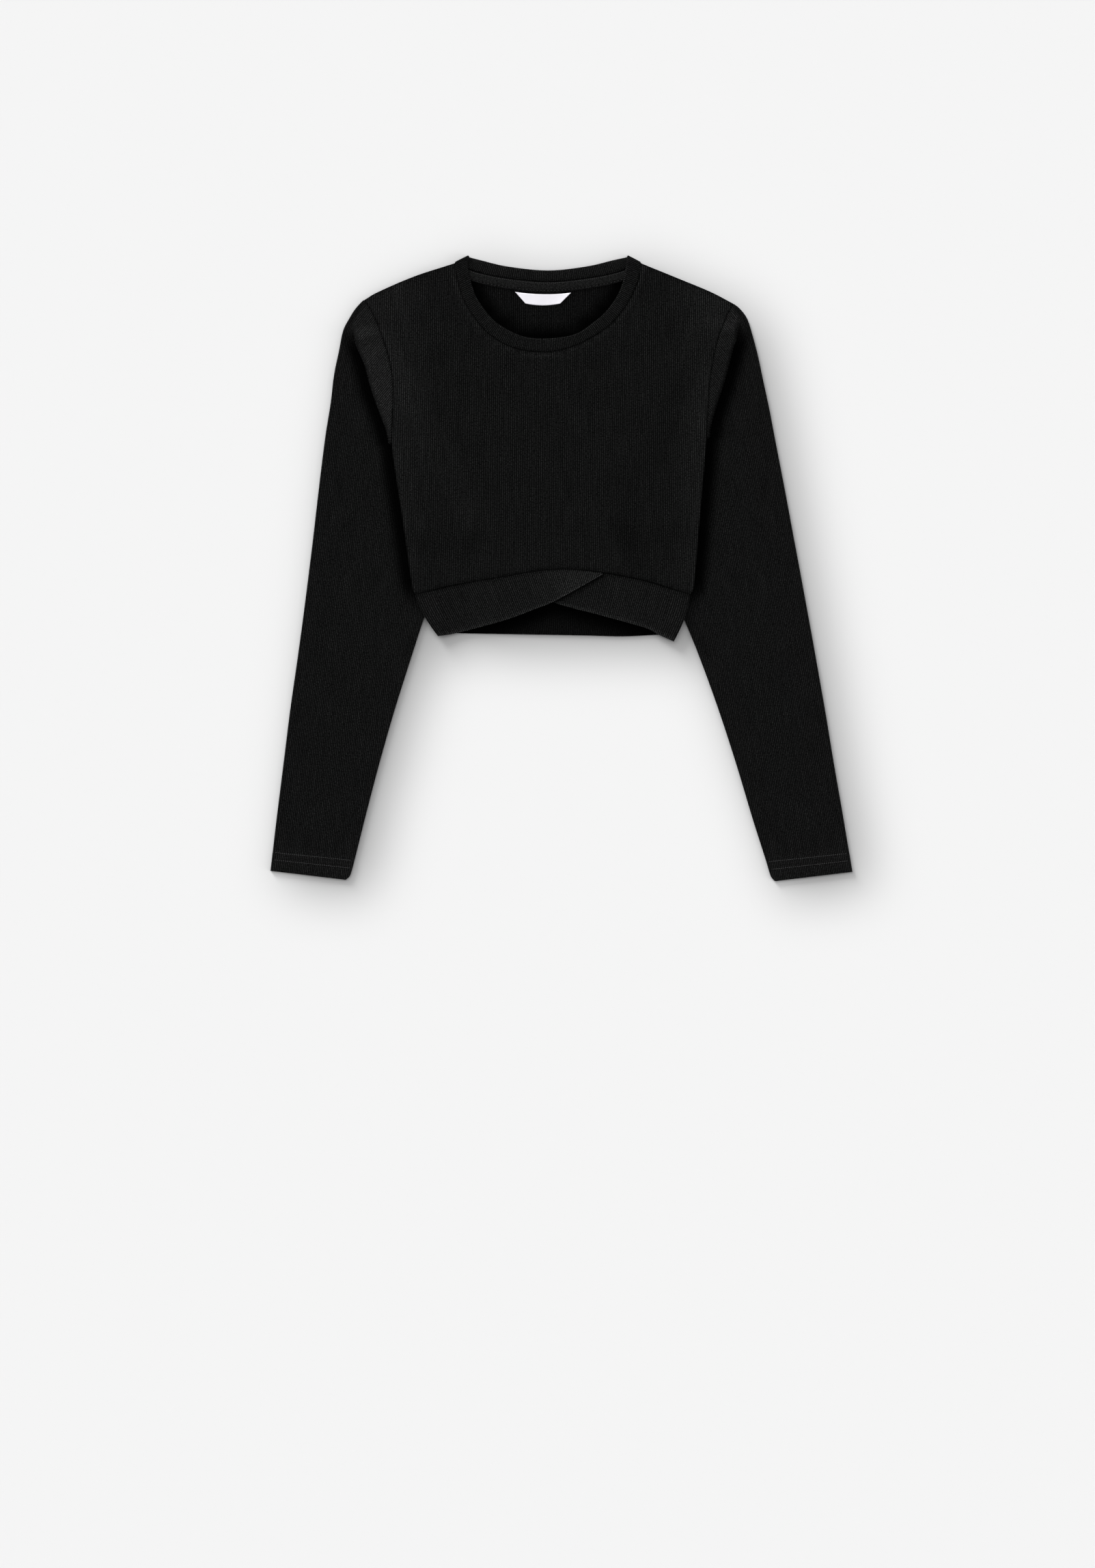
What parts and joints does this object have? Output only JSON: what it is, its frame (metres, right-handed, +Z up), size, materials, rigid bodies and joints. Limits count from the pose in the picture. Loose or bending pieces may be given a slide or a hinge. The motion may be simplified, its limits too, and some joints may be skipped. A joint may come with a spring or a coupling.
{
  "type": "crop top",
  "caption": "Cropped long-sleeved top in rib knit, laid flat, with a round neckband, a crossover front waistband and turned cuff hems.",
  "frame": {"origin": "middle of the garment's box, at the surface that it lies on", "axes": "+X to the viewer's right across the chest, +Y from the hem towards the collar, +Z up from the surface"},
  "size_m": [0.5959, 0.6408, 0.0091],
  "materials": {
    "rib_knit": "matt black fine-rib jersey",
    "rib_band": "matt black fine-rib jersey, doubled",
    "tape": "matt black jersey tape",
    "label": "white woven satin, bare"
  },
  "bodies": {
    "root": {"front_panel": "rib_knit", "back_panel": "rib_knit", "sleeve_left": "rib_knit", "sleeve_right": "rib_knit", "band_front_over": "rib_band", "band_front_under": "rib_band", "band_back": "rib_band", "neckband": "rib_band", "neck_tape": "tape", "label": "label"}
  },
  "joints": []
}
